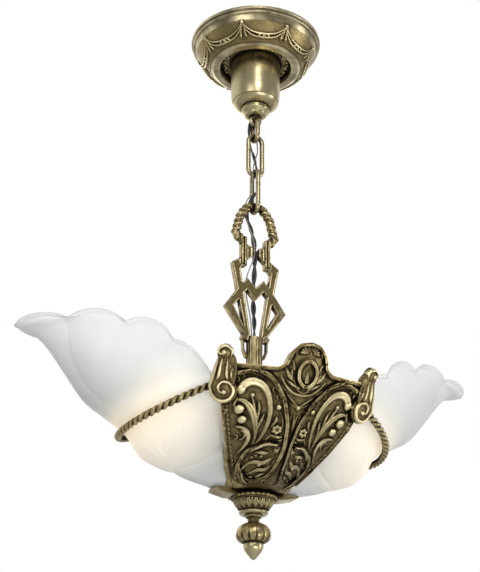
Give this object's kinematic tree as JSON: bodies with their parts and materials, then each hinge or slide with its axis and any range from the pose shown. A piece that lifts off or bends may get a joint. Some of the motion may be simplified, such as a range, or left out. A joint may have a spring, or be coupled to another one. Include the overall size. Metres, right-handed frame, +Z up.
{
  "type": "pendant light",
  "caption": "Chain-hung cast brass pendant light with ornate panels, twisted rings and frosted scalloped glass shades that rest in its sides",
  "frame": {"origin": "centre of the canopy's rim at the ceiling plane", "axes": "+Z up, towards the ceiling; the two shades lie along X; the pictured front faces -Y, its left shade at -X"},
  "size_m": [0.4512, 0.2412, 0.5337],
  "materials": {
    "antique_brass": "burnished high points over dark brown recesses",
    "plain_brass": "satin",
    "zinc_steel": "zinc plated",
    "aluminium_shell": "bright",
    "insulating_liner": "matte",
    "black_insulation": "satin",
    "tinned_copper": "tinned, dull",
    "satin_glass": "frosted, satin",
    "bulb_glass": "opal"
  },
  "bodies": {
    "ceiling_mount": {"ceiling_strap": "zinc_steel", "strap_nut": "zinc_steel", "mounting_tube": "zinc_steel", "canopy": "antique_brass", "canopy_bell": "antique_brass", "screw_collar": "antique_brass", "supply_lead": "black_insulation", "ground_wire": "tinned_copper"},
    "first_link": {"link_1": "antique_brass"},
    "second_link": {"link_2": "antique_brass"},
    "third_link": {"link_3": "antique_brass"},
    "fixture": {"stem_hanger": "antique_brass", "stem_tube": "zinc_steel", "lower_tube": "zinc_steel", "cluster_hub": "plain_brass", "hub_nut_top": "zinc_steel", "hub_nut_bottom": "zinc_steel", "floor_nut": "zinc_steel", "body_casting": "antique_brass", "bottom_cup": "antique_brass", "check_ring": "antique_brass", "finial_knob": "antique_brass", "finial_tip": "antique_brass", "shade_ring_right": "antique_brass", "lamp_tube_right": "zinc_steel", "lampholder_cap_right": "plain_brass", "lampholder_shell_right": "plain_brass", "lampholder_liner_right": "insulating_liner", "lampholder_screw_shell_right": "aluminium_shell", "lampholder_contact_right": "plain_brass", "lamp_lead_right": "black_insulation", "shade_ring_left": "antique_brass", "lamp_tube_left": "zinc_steel", "lampholder_cap_left": "plain_brass", "lampholder_shell_left": "plain_brass", "lampholder_liner_left": "insulating_liner", "lampholder_screw_shell_left": "aluminium_shell", "lampholder_contact_left": "plain_brass", "lamp_lead_left": "black_insulation"},
    "right_shade": {"glass_shade_right": "satin_glass"},
    "left_shade": {"glass_shade_left": "satin_glass"},
    "right_bulb": {"bulb_base_right": "aluminium_shell", "bulb_envelope_right": "bulb_glass"},
    "left_bulb": {"bulb_base_left": "aluminium_shell", "bulb_envelope_left": "bulb_glass"}
  },
  "joints": [
    {"name": "eye_swing", "type": "hinge", "parent": "ceiling_mount", "child": "first_link", "pos_m": [0, 0, -0.0971], "axis": [1, 0, 0], "range_deg": [-25, 25], "deforming": ["supply_lead", "ground_wire"]},
    {"name": "first_link_swing", "type": "hinge", "parent": "first_link", "child": "second_link", "pos_m": [0, 0, -0.11551], "axis": [0, 1, 0], "range_deg": [-25, 25]},
    {"name": "second_link_swing", "type": "hinge", "parent": "second_link", "child": "third_link", "pos_m": [0, 0, -0.15607], "axis": [1, 0, 0], "range_deg": [-25, 25]},
    {"name": "hanger_swing", "type": "hinge", "parent": "third_link", "child": "fixture", "pos_m": [0, 0, -0.19663], "axis": [0, 1, 0], "range_deg": [-25, 25]},
    {"name": "right_shade_lift", "type": "slide", "parent": "fixture", "child": "right_shade", "axis": [0.5, 0, 0.866], "range_m": [0, 0.04]},
    {"name": "left_shade_lift", "type": "slide", "parent": "fixture", "child": "left_shade", "axis": [-0.5, 0, 0.866], "range_m": [0, 0.04]},
    {"name": "right_bulb_turn", "type": "hinge", "parent": "fixture", "child": "right_bulb", "pos_m": [0.04532, 0, -0.41687], "axis": [0.9063, 0, 0.4226], "continuous": true},
    {"name": "left_bulb_turn", "type": "hinge", "parent": "fixture", "child": "left_bulb", "pos_m": [-0.04532, 0, -0.41687], "axis": [-0.9063, 0, 0.4226], "continuous": true}
  ]
}
